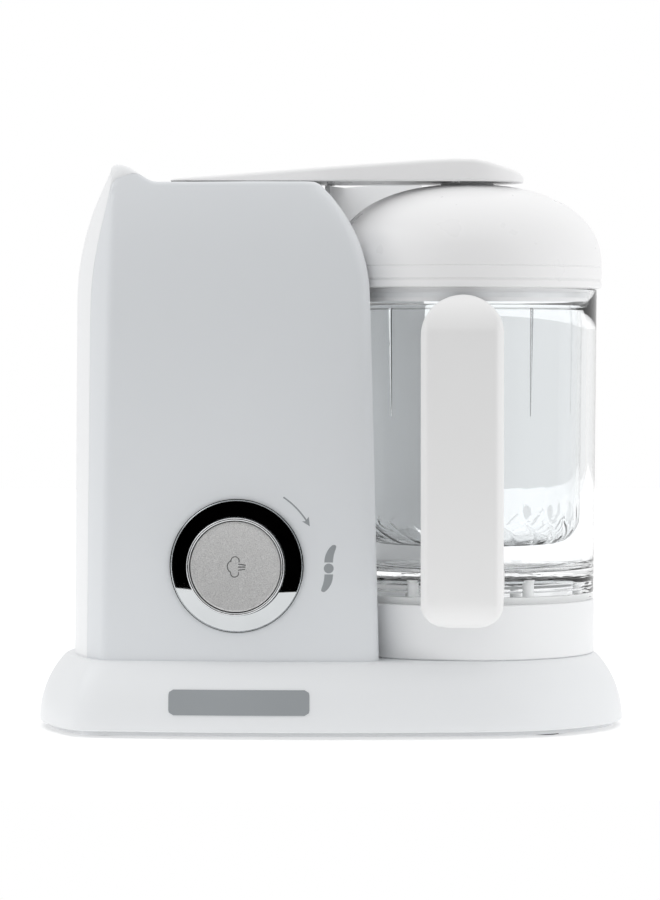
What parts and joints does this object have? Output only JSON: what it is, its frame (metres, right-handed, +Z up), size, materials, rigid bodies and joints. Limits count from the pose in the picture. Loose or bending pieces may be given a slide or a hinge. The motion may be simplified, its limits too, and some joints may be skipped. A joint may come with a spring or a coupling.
{
  "type": "baby food maker",
  "caption": "Countertop steamer and blender: plinth, tall casing with knob, hinged steam arm, clear handled bowl with basket and dome lid.",
  "frame": {"origin": "on the table, under the middle of the whole box (plinth and handle)", "axes": "+X to the bowl's side, -Y to the front with the knob and the handle, +Z up"},
  "size_m": [0.282, 0.1849, 0.2726],
  "materials": {
    "white_shell": "satin",
    "clear_plastic": "gloss",
    "rubber": "matte",
    "silicone": "matte",
    "steel": "satin",
    "heater_metal": "satin",
    "laminations": "matte",
    "copper": "satin",
    "motor_metal": "satin",
    "dark_plastic": "matte",
    "bush_bronze": "satin",
    "fan_plastic": "matte",
    "board": "matte",
    "dish_chrome": "polished",
    "knob_silver": "satin",
    "button_satin": "satin",
    "print_gray": "matte"
  },
  "bodies": {
    "housing": {"base_shell": "white_shell", "bottom_plate": "white_shell", "feet": "rubber", "base_screws": "steel", "cord_gland": "rubber", "front_shell": "white_shell", "main_shell": "white_shell", "shell_screws": "steel", "top_deck": "white_shell", "hinge_pin": "steel", "drive_housing": "white_shell", "water_tank": "steel", "tank_heater": "heater_metal", "thermostat": "dark_plastic", "motor_stator": "laminations", "motor_windings": "copper", "motor_lower_bracket": "motor_metal", "motor_upper_bracket": "motor_metal", "motor_bearings": "steel", "brush_holders": "copper", "motor_mounts": "rubber", "drive_belt": "rubber", "drive_bushes": "bush_bronze", "control_board": "board", "rotary_switch": "dark_plastic", "steam_switch": "dark_plastic", "lid_switch": "dark_plastic", "dial_bezel": "dish_chrome", "badge_plate": "print_gray", "front_markings": "print_gray"},
    "arm": {"arm_cover": "white_shell", "arm_liner": "white_shell", "tank_seal": "silicone", "outlet_seal": "silicone", "arm_screws": "steel"},
    "rotor": {"rotor_core": "laminations", "motor_shaft": "steel", "commutator": "copper", "cooling_fan": "fan_plastic", "motor_pulley": "motor_metal"},
    "drive": {"drive_shaft": "steel", "drive_pulley": "dark_plastic", "drive_coupling": "dark_plastic", "shaft_clip": "steel"},
    "bowl_unit": {"bowl": "clear_plastic", "bowl_handle": "white_shell", "handle_insert": "white_shell", "bowl_base_ring": "white_shell", "handle_screws": "steel", "basket": "clear_plastic", "blade_bush": "silicone"},
    "lid": {"lid_dome": "white_shell", "lid_inner": "white_shell", "lid_seal": "silicone"},
    "blade_unit": {"blade": "steel", "blade_hub": "fan_plastic", "blade_shaft": "steel"},
    "dial": {"dial_knob": "knob_silver"},
    "button": {"steam_button": "button_satin"}
  },
  "joints": [
    {"name": "arm_hinge", "type": "hinge", "parent": "housing", "child": "arm", "pos_m": [-0.0725, 0.013, 0.256], "axis": [0, -1, 0], "range_deg": [0, 90]},
    {"name": "dial_turn", "type": "hinge", "parent": "housing", "child": "dial", "pos_m": [-0.0442, -0.04971, 0.0801], "axis": [0.0627, 0.998, 0], "range_deg": [0, 45], "stiffness_Nm_per_rad": 0.05},
    {"name": "button_push", "type": "slide", "parent": "dial", "child": "button", "axis": [0.0627, 0.998, 0], "range_m": [0, 0.0025], "stiffness_N_per_m": 600},
    {"name": "bowl_turn", "type": "hinge", "parent": "housing", "child": "bowl_unit", "pos_m": [0.066, 0.013, 0.055], "axis": [0, 0, 1], "range_deg": [0, 28]},
    {"name": "lid_turn", "type": "hinge", "parent": "bowl_unit", "child": "lid", "pos_m": [0.066, 0.013, 0.211], "axis": [0, 0, 1], "range_deg": [0, 45]},
    {"name": "motor_spin", "type": "hinge", "parent": "housing", "child": "rotor", "pos_m": [-0.055, 0.027, 0.085], "axis": [0, 0, 1], "continuous": true},
    {"name": "drive_spin", "type": "hinge", "parent": "housing", "child": "drive", "pos_m": [0.066, 0.013, 0.02], "axis": [0, 0, 1], "continuous": true},
    {"name": "blade_spin", "type": "hinge", "parent": "bowl_unit", "child": "blade_unit", "pos_m": [0.066, 0.013, 0.08], "axis": [0, 0, 1], "continuous": true}
  ],
  "couplings": [
    {"joint": "drive_spin", "follows": "motor_spin", "ratio": 0.30769},
    {"joint": "blade_spin", "follows": "motor_spin", "ratio": 0.30769}
  ]
}
